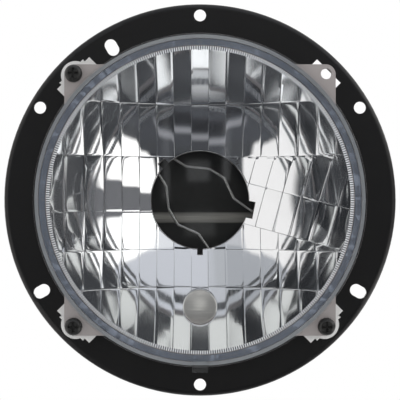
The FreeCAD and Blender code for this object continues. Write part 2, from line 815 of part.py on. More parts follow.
# Bulb clip: one bent wire, the same on both sides of the diagonal through its hinge.
clip = new_body("bulb_clip")
HALF_PATH = [
    (-9.6, 15.8),
    (-5.4, 13.2),
    (3.6, 12.2),
    (9.6, 8.6),
    (13.2, 0.6),
    (21.0, -4.8),
    (24.7, -10.1),
]
BEND_SHARE = 0.42
hinge = size("pivot_r") / math.sqrt(2)
near, far = size("wire_end_near") / math.sqrt(2), size("wire_end_far") / math.sqrt(2)
first_half = [(-hinge + near, hinge + near), (-hinge + far, hinge + far)] + HALF_PATH
second_half = [(-z, -x) for x, z in reversed(first_half)]
route = [Vector(x, z, 0) for x, z in first_half + second_half]
path = new_sketch(clip, "clip_path", "XZ_Plane", "-wire_y")
pieces = []
start = route[0]
for index in range(1, len(route) - 1):
    corner = route[index]
    way_in = corner - route[index - 1]
    way_out = route[index + 1] - corner
    bend = way_in.getAngle(way_out)
    trim = min(size("wire_bend") * math.tan(bend / 2), BEND_SHARE * min(way_in.Length, way_out.Length))
    way_in.normalize()
    way_out.normalize()
    before = corner - way_in * trim
    after = corner + way_out * trim
    inward = (way_out - way_in).normalize()
    radius = trim / math.tan(bend / 2)
    peak = corner + inward * (radius / math.cos(bend / 2) - radius)
    pieces.append(Part.LineSegment(start, before))
    pieces.append(Part.Arc(before, peak, after))
    start = after
pieces.append(Part.LineSegment(start, route[-1]))
for piece in pieces:
    path.addGeometry(piece, False)
doc.recompute()
wire = clip.newObject("Sketcher::SketchObject", "clip_wire")
wire.AttachmentSupport = [(path, "Edge1")]
wire.MapMode = "NormalToEdge"
wire.MapPathParameter = 0.0
circle(wire, "0", "0", "wire_r")
bent = clip.newObject("PartDesign::AdditivePipe", "clip_bend")
bent.Profile = wire
bent.Spine = (path, [])
bent.Refine = False

# Bracket that holds the ends of the wire, and the small screw through it.
bracket = new_body("clip_bracket")
bracket_plan = new_sketch(bracket, "bracket_section", "XY_Plane")
outline(
    bracket_plan,
    [
        ("bracket_in", "bracket_arch"),
        ("bracket_knee", "bracket_arch"),
        ("bracket_knee", "neck_back"),
        ("bracket_out", "neck_back"),
        ("bracket_out", "bracket_low"),
        ("bracket_step", "bracket_low"),
        ("bracket_step", "bracket_top"),
        ("bracket_in", "bracket_top"),
    ],
)
bracket_pad = bracket.newObject("PartDesign::Pad", "bracket_sheet")
bracket_pad.Profile = bracket_plan
bracket_pad.Length = size("bracket_w")
bracket_pad.setExpression("Length", "Sizes.bracket_w")
bracket_pad.Midplane = True
bracket_pad.Refine = False
bracket_hole = new_sketch(bracket, "bracket_hole_plan", "XZ_Plane")
circle(bracket_hole, "clip_screw_r", "0", "bracket_hole_r")
cut_through(bracket, "bracket_hole", bracket_hole)
bracket.Placement = Placement(Vector(0, 0, 0), Rotation(Vector(0, 1, 0), -UPPER_LEFT))

clip_screw = new_body("clip_screw")
spin(
    clip_screw,
    "clip_screw_turned",
    [
        ("0", "clip_tip"),
        ("clip_shank_r", "clip_tip"),
        ("clip_shank_r", "bracket_low"),
        ("clip_head_r", "bracket_low"),
        ("clip_head_r", "clip_head_top"),
        ("0", "clip_head_top"),
    ],
)
clip_place = around("clip_screw_r", UPPER_LEFT)
clip_screw.Placement = Placement(Vector(clip_place[0][0], 0, clip_place[1][0]), Rotation())


def aiming_screw(name, x_sign, z_sign):
    """Pan head, plain neck for the ear, groove for the retainer, shank for the nut."""
    body = new_body(name)
    spin(
        body,
        name + "_turned",
        [
            ("0", "-head_front"),
            ("head_top_r", "-head_front"),
            ("head_r", "-head_edge"),
            ("head_r", "-head_back"),
            ("screw_neck_r", "-head_back"),
            ("screw_neck_r", "-retainer_front"),
            ("groove_r", "-retainer_front"),
            ("groove_r", "-groove_back"),
            ("shank_r", "-groove_back"),
            ("shank_r", "tip_start"),
            ("tip_r", "screw_tip"),
            ("0", "screw_tip"),
        ],
        {1: ("head_arc_r", -1)},
    )
    near, far = half_of("cross_w", -1), half_of("cross_w")
    cross = new_sketch(body, name + "_cross_plan", "XZ_Plane", "head_front")
    outline(
        cross,
        [
            (near, "-cross_half"),
            (far, "-cross_half"),
            (far, near),
            ("cross_half", near),
            ("cross_half", far),
            (far, far),
            (far, "cross_half"),
            (near, "cross_half"),
            (near, far),
            ("-cross_half", far),
            ("-cross_half", near),
            (near, near),
        ],
    )
    cut_down(body, name + "_cross", cross, "cross_deep")
    body.Placement = Placement(Vector(x_sign * size("ear_off"), 0, z_sign * size("ear_off")), Rotation())
    return body


def retainer(name, x_sign, z_sign, mouth):
    """Flat snap ring in the groove behind the ear."""
    body = new_body(name)
    plan = new_sketch(body, name + "_plan", "XZ_Plane", "retainer_back")
    circle(plan, "0", "0", "retainer_r")
    circle(plan, "0", "0", "retainer_in_r")
    raise_pad(body, name + "_disc", plan, "retainer_t")
    gap = new_sketch(body, name + "_mouth_plan", "XZ_Plane", "0", mouth)
    sides = half_of("retainer_mouth", -1), half_of("retainer_mouth")
    outline(gap, box_points("0", "mouth_end", *sides))
    cut_through(body, name + "_mouth", gap)
    body.Placement = Placement(Vector(x_sign * size("ear_off"), 0, z_sign * size("ear_off")), Rotation())
    return body


def nylon_nut(name, angle):
    """Head on the ring, neck in its slot, barbs behind it and a long bored core."""
    body = new_body(name)
    head = new_sketch(body, name + "_head_plan", "XZ_Plane", "ring_t")
    outline(head, box_points("-nut_in", "nut_out", "-nut_half", "nut_half"))
    raise_pad(body, name + "_head", head, "nut_head_t")
    lobe = new_sketch(body, name + "_lobe_plan", "XZ_Plane", "ring_t")
    circle(lobe, "0", "0", "nut_lobe_r")
    raise_pad(body, name + "_lobe", lobe, "nut_head_t")
    neck = new_sketch(body, name + "_neck_plan", "XZ_Plane", "ring_t")
    outline(neck, box_points("-nut_neck_w", "nut_neck_w", "-nut_neck_half", "nut_neck_half"))
    raise_pad(body, name + "_neck", neck, "nut_neck_len", True)
    barbs = new_sketch(body, name + "_barb_plan", "XZ_Plane", "-slack")
    outline(barbs, box_points("-nut_neck_w", "nut_neck_w", "-barb_half", "barb_half"))
    raise_pad(body, name + "_barb", barbs, "barb_t", True)
    core = new_sketch(body, name + "_core_plan", "XZ_Plane")
    outline(core, box_points("-nut_neck_w", "nut_neck_w", "-nut_core_half", "nut_core_half"))
    raise_pad(body, name + "_core", core, "nut_back", True)
    bore = new_sketch(body, name + "_bore_plan", "XZ_Plane")
    circle(bore, "0", "0", "nut_bore_r")
    cut_through(body, name + "_bore", bore)
    turn = math.radians(angle)
    place = Vector(size("ear_r") * math.cos(turn), 0, size("ear_r") * math.sin(turn))
    body.Placement = Placement(place, Rotation(Vector(0, 1, 0), -angle))
    return body


parts = [ring, mirror, lens, seal, cover, clip, bracket, clip_screw]
parts.append(aiming_screw("upper_screw", -1, 1))
parts.append(aiming_screw("pivot_screw", -1, -1))
parts.append(aiming_screw("side_screw", 1, -1))
parts.append(retainer("upper_retainer", -1, 1, UPPER_LEFT))
parts.append(retainer("pivot_retainer", -1, -1, LOWER_LEFT))
parts.append(retainer("side_retainer", 1, -1, LOWER_RIGHT))
parts.append(nylon_nut("upper_nut", UPPER_LEFT))
parts.append(nylon_nut("pivot_nut", LOWER_LEFT))
parts.append(nylon_nut("side_nut", LOWER_RIGHT))

# Pivot bush: a pierced ball, so the lamp tips both ways about its middle.
bush = new_body("pivot_bush")
spin(
    bush,
    "bush_turned",
    [
        ("bush_bore_r", "-bush_front"),
        ("bush_side_r", "-bush_front"),
        ("bush_side_r", "-bush_rear"),
        ("bush_bore_r", "-bush_rear"),
    ],
    {1: ("bush_r", -1)},
)
bush.Placement = Placement(Vector(-size("ear_off"), 0, -size("ear_off")), Rotation())
parts.append(bush)

doc.recompute()
faults = []
for item in doc.Objects:
    state = ",".join(item.State)
    if "Invalid" in state or "Error" in state:
        faults.append("%s: %s" % (item.Name, state))
for part in parts:
    if part.Shape.isNull() or not part.Shape.isValid():
        faults.append("%s: shape is not valid" % part.Name)
if faults:
    raise RuntimeError("; ".join(faults))

os.makedirs("parts", exist_ok=True)
for part in parts:
    part.Shape.exportStep("parts/%s.step" % part.Name)
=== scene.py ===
import math

import bmesh
import bpy
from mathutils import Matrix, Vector


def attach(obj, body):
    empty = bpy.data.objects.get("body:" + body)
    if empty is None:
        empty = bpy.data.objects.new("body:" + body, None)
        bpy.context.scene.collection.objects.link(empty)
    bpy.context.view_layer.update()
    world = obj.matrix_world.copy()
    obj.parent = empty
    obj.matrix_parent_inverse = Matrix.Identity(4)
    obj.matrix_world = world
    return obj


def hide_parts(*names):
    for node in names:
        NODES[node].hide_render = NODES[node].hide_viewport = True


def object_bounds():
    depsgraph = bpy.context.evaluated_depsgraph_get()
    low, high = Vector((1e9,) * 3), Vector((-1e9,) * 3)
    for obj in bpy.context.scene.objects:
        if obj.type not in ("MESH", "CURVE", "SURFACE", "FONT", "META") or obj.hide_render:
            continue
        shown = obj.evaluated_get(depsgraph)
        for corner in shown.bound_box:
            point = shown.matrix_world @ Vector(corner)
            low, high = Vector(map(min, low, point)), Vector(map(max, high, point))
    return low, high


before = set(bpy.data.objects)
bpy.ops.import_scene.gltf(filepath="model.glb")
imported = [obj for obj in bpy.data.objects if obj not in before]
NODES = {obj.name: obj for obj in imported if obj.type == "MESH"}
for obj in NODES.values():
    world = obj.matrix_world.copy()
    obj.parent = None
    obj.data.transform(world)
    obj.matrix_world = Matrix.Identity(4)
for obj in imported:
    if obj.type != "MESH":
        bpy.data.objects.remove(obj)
CAD_LOW, CAD_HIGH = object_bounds()

MM = 0.001

# Sizes of the reflector, as in the CAD source.
FOCAL = 22.4 * MM
VERTEX_Y = 21.56 * MM
APERTURE_R = 55.0 * MM
BULB_R = 19.0 * MM
COLUMN = 6.6 * MM
LAST_COLUMN = 8
FLUTE_IN = -0.06 * MM
FLUTE_OUT = 0.08 * MM
STEP = 0.3 * MM
ROW_SHIFT = 0.12 * MM
SECTOR_BACK = 2 * STEP
CUT_OFF = 4.4 * MM
ROW_SIDE = 16.6 * MM
ROW_TOP = 36.0 * MM
ROW_MID = 19.0 * MM
ROW_LOW = 33.0 * MM
ROW_SECTOR = 11.0 * MM
SECTOR = math.radians(15)
PARK_Z = -40.0 * MM
PARK_R = 6.4 * MM
MIRROR_SKIN = 1.5 * MM

# Notches for the bulb's lugs: the angle in degrees, counted from the right, and the width.
KEY_END_R = 21.2 * MM
KEYS = ((135, 3.2 * MM), (270, 2.2 * MM), (349, 6.6 * MM))

# Columns from this one outwards pass beside the bulb opening.
BESIDE = 2

# The aluminium coat lies this far in front of the CAD surface, with a rounded ridge between facets.
# Facets lean up or down and swing left or right by these depths at their edges, those below less.
COAT = 0.16 * MM
RIDGE = 0.05 * MM
RIDGE_W = 0.14 * MM
WALL_DEEP = 1.1 * MM
HOLE_EASE = 0.06 * MM
LEAN_HIGH = 0.4 * MM
LEAN_LOW = 0.1 * MM
SWING = 0.05 * MM
DISC_BULGE = 0.4 * MM
DISC_LEAN = 0.35 * MM
DISC_FACE_Y = 3.1 * MM
DISC_RINGS = 12

# Sizes of the lens, as in the CAD source, with its serrations and the fine rings of its rim.
LENS_FOOT_R = 58.5 * MM
LENS_LIP_R = 60.4 * MM
LENS_BACK = -12.6 * MM
LENS_LIP_BACK = -14.2 * MM
LENS_RIM = -15.6 * MM
LENS_STEP = -17.6 * MM
LENS_TOP = -27.0 * MM
LENS_T = 3.0 * MM
LENS_BEVEL = 0.5 * MM
LENS_IN_R = 52.0 * MM
LENS_ROOT_R = 53.8 * MM
STEP_OUT_R = 55.7 * MM
STEP_IN_R = 54.2 * MM
TEETH = 420
TOOTH = 0.12 * MM
RIM_RINGS = (56.6 * MM, 57.4 * MM, 58.2 * MM)
RIM_RING_W = 0.18 * MM
RIM_RING_DEEP = 0.14 * MM
TAB_HALF = 2.9 * MM
TAB_IN_R = 57.5 * MM
TAB_R = 62.5 * MM
TAB_BACK = -12.7 * MM
TAB_FRONT = -14.9 * MM

# Places on the CAD pieces that get a finish of their own, and its number among their materials.
RIM_WALL_R = 58.6 * MM
RIM_WALL_FRONT = -11.6 * MM
BAND_FACE_Y = 48.8 * MM
BAND_DEEP = 0.3 * MM
BAND_Z = -7.2 * MM
BAND_HALF = 2.4 * MM
FRONT_FACING = -0.9
MIRROR_SLOT = 1
SQUEEZED_SLOT = 2
BAND_SLOT = 1

# How finely the added pieces are divided, and the smallest lengths in them.
FACET_ACROSS = 7
FACET_ALONG = 24
RIDGE_SHARES = (0.0, 0.33, 0.67, 1.0)
DISC_SIDES = 72
LENS_SIDES = 360
DOME_RINGS_IN = 20
DOME_RINGS_OUT = 24
TINY = 0.01 * MM
TOUCHING = 0.001 * MM
BOX_FACES = ((0, 1, 2, 3), (7, 6, 5, 4), (0, 4, 5, 1), (1, 5, 6, 2), (2, 6, 7, 3), (3, 7, 4, 0))

# Finishes: the middle part of a noise, how much finer the shine is than the colour, the depths of
# relief, and how far the level brush lines and the streaks of the sheen painted on the cover's rib are
# drawn out.
NOISE_RANGE = (0.3, 0.7)
FINER = 6
GRAIN_BUMP = 0.4
HAZE = 90.0
HAZE_ROUGH = (0.03, 0.06)
BRUSH_STRETCH = (60.0, 60.0, 1100.0)
BRUSH_DEEP = 0.00012
BRUSH_BUMP = 0.6
SHEEN_STRETCH = (40.0, 40.0, 1200.0)
SHEEN_RANGE = (0.55, 1.0)
# The dark rubber of the cover's rib, and the pale painted sheen along its middle.
RUBBER_DARK = (0.06, 0.06, 0.058)
RUBBER_SHEEN = (0.62, 0.6, 0.55)
WHITE = (1.0, 1.0, 1.0, 1.0)
FLOOR_PALE = (0.8, 0.8, 0.8, 1.0)

# The photo: widths of the ring and the picture in pixels. Camera distance and film are assumed.
RING_PIXELS = 392.8
PHOTO_PIXELS = 400.0
CAMERA_AWAY = 0.5
RING_FACE_Y = -1.2 * MM
SENSOR = 36.0

# The soft lamp beside the camera, and the floor.
FILL_PLACE = Vector((0.12, -1.7, 0.22))
FILL_SIZE = 0.5
FILL_POWER = 5.7
FLOOR_SIZE = 12.0
FLOOR_Z = -0.7


def new_material(name):
    """An empty material, its node tree and its output."""
    material = bpy.data.materials.new(name)
    material.use_nodes = True
    tree = material.node_tree
    tree.nodes.clear()
    output = tree.nodes.new("ShaderNodeOutputMaterial")
    return material, tree, output


def new_shader(name):
    """A material with one general shader, its node tree and the shader's inputs."""
    material, tree, output = new_material(name)
    shader = tree.nodes.new("ShaderNodeBsdfPrincipled")
    link(tree, shader.outputs["BSDF"], output.inputs["Surface"])
    return material, tree, shader.inputs


def link(tree, source, target):
    tree.links.new(source, target)


def noise(tree, scale, detail=3.0, roughness=0.55):
    """A cloudy grey value."""
    place = tree.nodes.new("ShaderNodeTexCoord")
    texture = tree.nodes.new("ShaderNodeTexNoise")
    texture.inputs["Scale"].default_value = scale
    texture.inputs["Detail"].default_value = detail
    texture.inputs["Roughness"].default_value = roughness
    link(tree, place.outputs["Object"], texture.inputs["Vector"])
    return texture.outputs["Fac"]


def streaks(tree, stretch):
    """A grey value drawn out into level lines."""
    place = tree.nodes.new("ShaderNodeTexCoord")
    mapping = tree.nodes.new("ShaderNodeMapping")
    mapping.inputs["Scale"].default_value = stretch
    texture = tree.nodes.new("ShaderNodeTexNoise")
    texture.inputs["Scale"].default_value = 1.0
    link(tree, place.outputs["Object"], mapping.inputs["Vector"])
    link(tree, mapping.outputs["Vector"], texture.inputs["Vector"])
    return texture.outputs["Fac"]


def ramp(tree, value, low, high, bottom, top):
    """Maps a grey value from one range to another."""
    node = tree.nodes.new("ShaderNodeMapRange")
    node.inputs["From Min"].default_value = low
    node.inputs["From Max"].default_value = high
    node.inputs["To Min"].default_value = bottom
    node.inputs["To Max"].default_value = top
    link(tree, value, node.inputs["Value"])
    return node.outputs["Result"]


def combine(tree, operation, first, second):
    """One sum on two values, each a number or another node's output."""
    node = tree.nodes.new("ShaderNodeMath")
    node.operation = operation
    for socket, value in zip(node.inputs, (first, second)):
        if isinstance(value, (int, float)):
            socket.default_value = value
        else:
            link(tree, value, socket)
    return node.outputs["Value"]


def bump(tree, height, distance, strength):
    """Relief on a surface, from a grey value."""
    node = tree.nodes.new("ShaderNodeBump")
    node.inputs["Distance"].default_value = distance
    node.inputs["Strength"].default_value = strength
    link(tree, height, node.inputs["Height"])
    return node.outputs["Normal"]


def tint(tree, value, dark, light):
    """A colour between two others, from a grey value."""
    node = tree.nodes.new("ShaderNodeMix")
    node.data_type = "RGBA"
    node.inputs["A"].default_value = (*dark, 1.0)
    node.inputs["B"].default_value = (*light, 1.0)
    link(tree, value, node.inputs["Factor"])
    return node.outputs["Result"]


def surface(name, dark, light, rough, grain, metallic=0.0, bump_depth=0.0):
    """A plain finish with a little wear in its colour, shine and surface."""
    material, tree, inputs = new_shader(name)
    inputs["Metallic"].default_value = metallic
    link(tree, tint(tree, noise(tree, grain), dark, light), inputs["Base Color"])
    fine = noise(tree, grain * FINER)
    link(tree, ramp(tree, fine, *NOISE_RANGE, *rough), inputs["Roughness"])
    if bump_depth:
        link(tree, bump(tree, fine, bump_depth, GRAIN_BUMP), inputs["Normal"])
    return material


def clear_glass(name, least, most, power):
    """Clear lens: lets the view through straight and reflects more at a slant."""
    material, tree, output = new_material(name)
    facing = tree.nodes.new("ShaderNodeLayerWeight")
    facing.inputs["Blend"].default_value = 0.5
    slant = combine(tree, "POWER", facing.outputs["Facing"], power)
    share = ramp(tree, slant, 0.0, 1.0, least, most)
    through = tree.nodes.new("ShaderNodeBsdfTransparent")
    through.inputs["Color"].default_value = (0.985, 0.99, 0.992, 1.0)
    gloss = tree.nodes.new("ShaderNodeBsdfGlossy")
    gloss.inputs["Color"].default_value = (0.95, 0.97, 1.0, 1.0)
    gloss.inputs["Roughness"].default_value = 0.02
    mix = tree.nodes.new("ShaderNodeMixShader")
    link(tree, share, mix.inputs["Fac"])
    link(tree, through.outputs["BSDF"], mix.inputs[1])
    link(tree, gloss.outputs["BSDF"], mix.inputs[2])
    link(tree, mix.outputs["Shader"], output.inputs["Surface"])
    return material


def mirror(name):
    """Vacuum deposited aluminium on a moulded bowl."""
    material, tree, inputs = new_shader(name)
    inputs["Metallic"].default_value = 1.0
    inputs["Base Color"].default_value = (0.9, 0.905, 0.91, 1.0)
    link(tree, ramp(tree, noise(tree, HAZE), *NOISE_RANGE, *HAZE_ROUGH), inputs["Roughness"])
    return material


def brushed(name):
    """Aluminised face with fine level brush lines."""
    material, tree, inputs = new_shader(name)
    inputs["Metallic"].default_value = 0.7
    inputs["Base Color"].default_value = (0.97, 0.95, 0.9, 1.0)
    inputs["Roughness"].default_value = 0.2
    link(tree, bump(tree, streaks(tree, BRUSH_STRETCH), BRUSH_DEEP, BRUSH_BUMP), inputs["Normal"])
    return material


def painted_sheen_band(name):
    """Black rubber rib with a painted sheen: a pale reflection painted along its middle, in level
    streaks.
    """
    material, tree, inputs = new_shader(name)
    inputs["Roughness"].default_value = 0.5
    place = tree.nodes.new("ShaderNodeTexCoord")
    split = tree.nodes.new("ShaderNodeSeparateXYZ")
    link(tree, place.outputs["Object"], split.inputs["Vector"])
    # Painted sheen: palest in the rib's middle and fading to its edges, broken into level streaks.
    off = combine(tree, "DIVIDE", combine(tree, "SUBTRACT", split.outputs["Z"], BAND_Z), BAND_HALF)
    middle = combine(tree, "SUBTRACT", 1.0, combine(tree, "MULTIPLY", off, off))
    sheen_streaks = ramp(tree, streaks(tree, SHEEN_STRETCH), *NOISE_RANGE, *SHEEN_RANGE)
    sheen_amount = combine(tree, "MULTIPLY", middle, sheen_streaks)
    link(tree, tint(tree, sheen_amount, RUBBER_DARK, RUBBER_SHEEN), inputs["Base Color"])
    return material


def paint(node, *materials):
    """Gives a CAD piece its materials, the first one all over."""
    mesh = NODES[node].data
    mesh.materials.clear()
    for material in materials:
        mesh.materials.append(material)
    for polygon in mesh.polygons:
        polygon.material_index = 0


def in_bowl(spot):
    """True on the mirrored side of the bowl."""
    radius_squared = spot.x * spot.x + spot.z * spot.z
    mirror_y = VERTEX_Y - radius_squared / (4 * FOCAL)
    return radius_squared < APERTURE_R * APERTURE_R and spot.y < mirror_y + MIRROR_SKIN


def faces_front(polygon):
    """True on faces that look the way the lamp shines."""
    return polygon.normal.y < FRONT_FACING


def on_rim_wall(polygon):
    """True on the front of the channel's outer wall, where sealant squeezes out under the lens."""
    spot = polygon.center
    outside = math.hypot(spot.x, spot.z) > RIM_WALL_R
    return faces_front(polygon) and outside and spot.y < RIM_WALL_FRONT


def on_band(polygon):
    """True on the rib inside the rear cover, which gets a pale painted sheen."""
    return faces_front(polygon) and abs(polygon.center.y - BAND_FACE_Y) < BAND_DEEP


RING_PAINT = surface(
    "ring_paint",
    dark=(0.006, 0.006, 0.0062),
    light=(0.0095, 0.0095, 0.0098),
    rough=(0.34, 0.47),
    grain=55.0,
    bump_depth=0.00002,
)
MOULDING = surface(
    "moulding",
    dark=(0.36, 0.33, 0.32),
    light=(0.44, 0.41, 0.4),
    rough=(0.42, 0.58),
    grain=80.0,
    bump_depth=0.00003,
)
MIRROR = mirror("aluminised")
LENS = clear_glass("clear_lens", least=0.014, most=0.9, power=5.0)
# Painted light on the clear lens's teeth: a bright painted glint on one face of each tooth, dark
# painted shade on the next.
TOOTH_PAINTED_GLINT = surface(
    "tooth_painted_glint",
    dark=(0.86, 0.88, 0.9),
    light=(0.95, 0.96, 0.97),
    rough=(0.2, 0.35),
    grain=90.0,
)
TOOTH_PAINTED_SHADE = surface(
    "tooth_painted_shade",
    dark=(0.05, 0.06, 0.07),
    light=(0.09, 0.1, 0.12),
    rough=(0.2, 0.35),
    grain=90.0,
)
BRUSHED = brushed("parking_face")
SEALANT = surface(
    "sealant",
    dark=(0.25, 0.28, 0.335),
    light=(0.31, 0.345, 0.415),
    rough=(0.5, 0.7),
    grain=60.0,
)
SQUEEZED = surface(
    "squeezed_sealant",
    dark=(0.225, 0.235, 0.245),
    light=(0.3, 0.31, 0.32),
    rough=(0.35, 0.5),
    grain=60.0,
)
COVER = surface(
    "cover_rubber",
    dark=(0.046, 0.046, 0.045),
    light=(0.058, 0.058, 0.056),
    rough=(0.55, 0.7),
    grain=70.0,
)
# Painted sheen on the cover's rib: a pale reflection painted into its colour.
COVER_SHEEN_BAND = painted_sheen_band("cover_band")
SPRING = surface(
    "spring_steel",
    dark=(0.62, 0.62, 0.6),
    light=(0.72, 0.72, 0.7),
    rough=(0.2, 0.28),
    grain=40.0,
    metallic=0.9,
)
BLACK_STEEL = surface(
    "black_steel",
    dark=(0.013, 0.013, 0.013),
    light=(0.03, 0.03, 0.028),
    rough=(0.28, 0.42),
    grain=300.0,
)
NYLON = surface(
    "nylon",
    dark=(0.82, 0.82, 0.8),
    light=(0.92, 0.92, 0.9),
    rough=(0.4, 0.55),
    grain=160.0,
)
PLAIN = (
    (RING_PAINT, ("mounting_ring",)),
    (SEALANT, ("lens_seal",)),
    (SPRING, ("bulb_clip", "clip_bracket", "clip_screw")),
    (SPRING, ("upper_retainer", "pivot_retainer", "side_retainer")),
    (BLACK_STEEL, ("upper_screw", "pivot_screw", "side_screw")),
    (NYLON, ("upper_nut", "pivot_nut", "side_nut", "pivot_bush")),
)
for material, nodes in PLAIN:
    for node in nodes:
        paint(node, material)
paint("reflector", MOULDING, MIRROR, SQUEEZED)
for polygon in NODES["reflector"].data.polygons:
    if in_bowl(polygon.center):
        polygon.material_index = MIRROR_SLOT
    elif on_rim_wall(polygon):
        polygon.material_index = SQUEEZED_SLOT
# The rib inside the cover gets the painted sheen.
paint("rear_cover", COVER, COVER_SHEEN_BAND)
for polygon in NODES["rear_cover"].data.polygons:
    if on_band(polygon):
        polygon.material_index = BAND_SLOT


def circle_through(spots):
    """Centre and radius of the circle through three places in a plane."""
    (ay, az), (by, bz), (cy, cz) = spots
    twice = 2 * (ay * (bz - cz) + by * (cz - az) + cy * (az - bz))
    a, b, c = ay * ay + az * az, by * by + bz * bz, cy * cy + cz * cz
    y = (a * (bz - cz) + b * (cz - az) + c * (az - bz)) / twice
    z = (a * (cy - by) + b * (ay - cy) + c * (by - ay)) / twice
    return y, z, math.hypot(ay - y, az - z)


def flute(column, low, high, deep, row):
    """One facet's depth: a flute on the circle through three points of the parabola, leant a little."""
    middle = column * COLUMN
    spots = []
    for z in (low, (low + high) / 2, high):
        spots.append((VERTEX_Y - (middle * middle + z * z) / (4 * FOCAL) + deep, z))
    centre_y, centre_z, radius = circle_through(spots)
    lean = (spots[1][0] - centre_y) / radius
    hollow = FLUTE_IN + (FLUTE_OUT - FLUTE_IN) * abs(column) / LAST_COLUMN
    tip = (LEAN_HIGH if high > 0 else LEAN_LOW) * ((2 * column + row) % 3 - 1)
    swing = SWING * ((column + row) % 3 - 1)

    def depth(x, z):
        across = (x - middle) / (COLUMN / 2)
        along = (2 * z - low - high) / (high - low)
        fall = (middle * middle - x * x) / (4 * FOCAL) * lean - hollow * across * across
        flat = centre_y + math.sqrt((radius + fall) ** 2 - (z - centre_z) ** 2)
        return flat - COAT - abs(tip) - abs(swing) + tip * along + swing * across

    return depth


def ridge(distance):
    """How far the coat rises near the edge of a facet."""
    return RIDGE * max(0.0, 1 - distance / RIDGE_W) ** 2


def steps(start, stop, count):
    """Places from edge to edge, with closer ones where the ridges are."""
    edge = min(RIDGE_W, (stop - start) / 3)
    inner = stop - start - 2 * edge
    places = [start + edge * share for share in RIDGE_SHARES]
    places += [start + edge + inner * index / count for index in range(1, count)]
    places += [stop - edge * share for share in RIDGE_SHARES[::-1]]
    return places


class Coat:
    """The vertices and faces of the mirror, one smooth patch for each facet."""

    def __init__(self):
        self.spots = []
        self.faces = []

    def patch(self, rows, turn):
        """The face of a facet and its walls, turned about the lamp's axis."""
        base = len(self.spots)
        tall = len(rows[0])
        cosine, sine = math.cos(turn), math.sin(turn)
        for row in rows:
            for x, y, z in row:
                self.spots.append((x * cosine + z * sine, y, z * cosine - x * sine))
        for i in range(len(rows) - 1):
            for j in range(tall - 1):
                tall_here = rows[i][j + 1][2] - rows[i][j][2]
                tall_next = rows[i + 1][j + 1][2] - rows[i + 1][j][2]
                if tall_here + tall_next < TOUCHING:
                    continue
                first = base + i * tall + j
                self.faces.append((first, first + tall, first + tall + 1, first + 1))
        last = (len(rows) - 1) * tall
        rim = [base + j for j in range(tall)]
        rim += [base + i * tall + tall - 1 for i in range(1, len(rows))]
        rim += [base + last + j for j in range(tall - 2, -1, -1)]
        rim += [base + i * tall for i in range(len(rows) - 2, -1, -1)]
        self.wall(rim)

    def wall(self, rim):
        """The side of a facet, from its edge back to the CAD surface."""
        base = len(self.spots)
        for index in rim:
            x, y, z = self.spots[index]
            self.spots += [(x, y, z), (x, y + WALL_DEEP, z)]
        for index in range(len(rim) - 1):
            first = base + 2 * index
            self.faces.append((first, first + 2, first + 3, first + 1))

    def facet(self, column, low, high, row, turn=0.0, floor=None, ceiling=None):
        """One facet from low to high, kept clear of the bulb opening and the parking disc."""
        deep = STEP * ((column + row) % 2) + ROW_SHIFT * (row % 2)
        if turn:
            deep += SECTOR_BACK
        depth = flute(column, low, high, deep, row)
        left, right = (column - 0.5) * COLUMN, (column + 0.5) * COLUMN
        floor = floor or (lambda x: low)
        ceiling = ceiling or (lambda x: high)
        holes = [(0.0, BULB_R + HOLE_EASE)]
        if not turn:
            holes.append((PARK_Z, PARK_R + HOLE_EASE))
        cuts = [left, right]
        for _, radius in holes:
            cuts += [edge for edge in (-radius, radius) if left < edge < right]
        cuts.sort()
        for start, stop in zip(cuts, cuts[1:]):
            spans = [(floor, ceiling)]
            for middle, radius in holes:
                if abs(start + stop) / 2 < radius:
                    spans = split_spans(spans, middle, radius)
            for lower, upper in spans:
                self.span(start, stop, lower, upper, depth, (left, right, low, high), turn)

    def span(self, start, stop, lower, upper, depth, edges, turn):
        """The part of a facet between two edges, with its ridges."""
        left, right, low, high = edges
        rows = []
        for x in steps(start, stop, FACET_ACROSS):
            reach = math.sqrt(max(APERTURE_R ** 2 - x * x, 0.0))
            bottom = max(lower(x), -reach)
            top = max(min(upper(x), reach), bottom)
            rise = ridge(min(x - left, right - x))
            row = []
            for z in steps(bottom, top, FACET_ALONG):
                side = min(abs(z - lower(x)), abs(upper(x) - z))
                row.append((x, depth(x, z) - max(rise, ridge(side)), z))
            rows.append(row)
        if max(row[-1][2] - row[0][2] for row in rows) > RIDGE_W:
            self.patch(rows, turn)


def split_spans(spans, middle, radius):
    """The spans below and above a round hole."""

    def half(x):
        return math.sqrt(max(radius * radius - x * x, 0.0))

    parts = []
    for lower, upper in spans:
        parts.append((lower, lambda x, top=upper: min(top(x), middle - half(x))))
        parts.append((lambda x, bottom=lower: max(bottom(x), middle + half(x)), upper))
    return parts


def middle_line(x):
    """The level line through the bulb opening, where the facets above and below it end."""
    return 0.0


def sector_line(x):
    """The slanted lower edge of the turned facets, seen in the upright frame."""
    return -CUT_OFF / math.cos(SECTOR) - x * math.tan(SECTOR)


def sector_top(x):
    """The level upper edge of the turned facets, seen in their own frame."""
    return (ROW_SIDE + x * math.sin(SECTOR)) / math.cos(SECTOR)


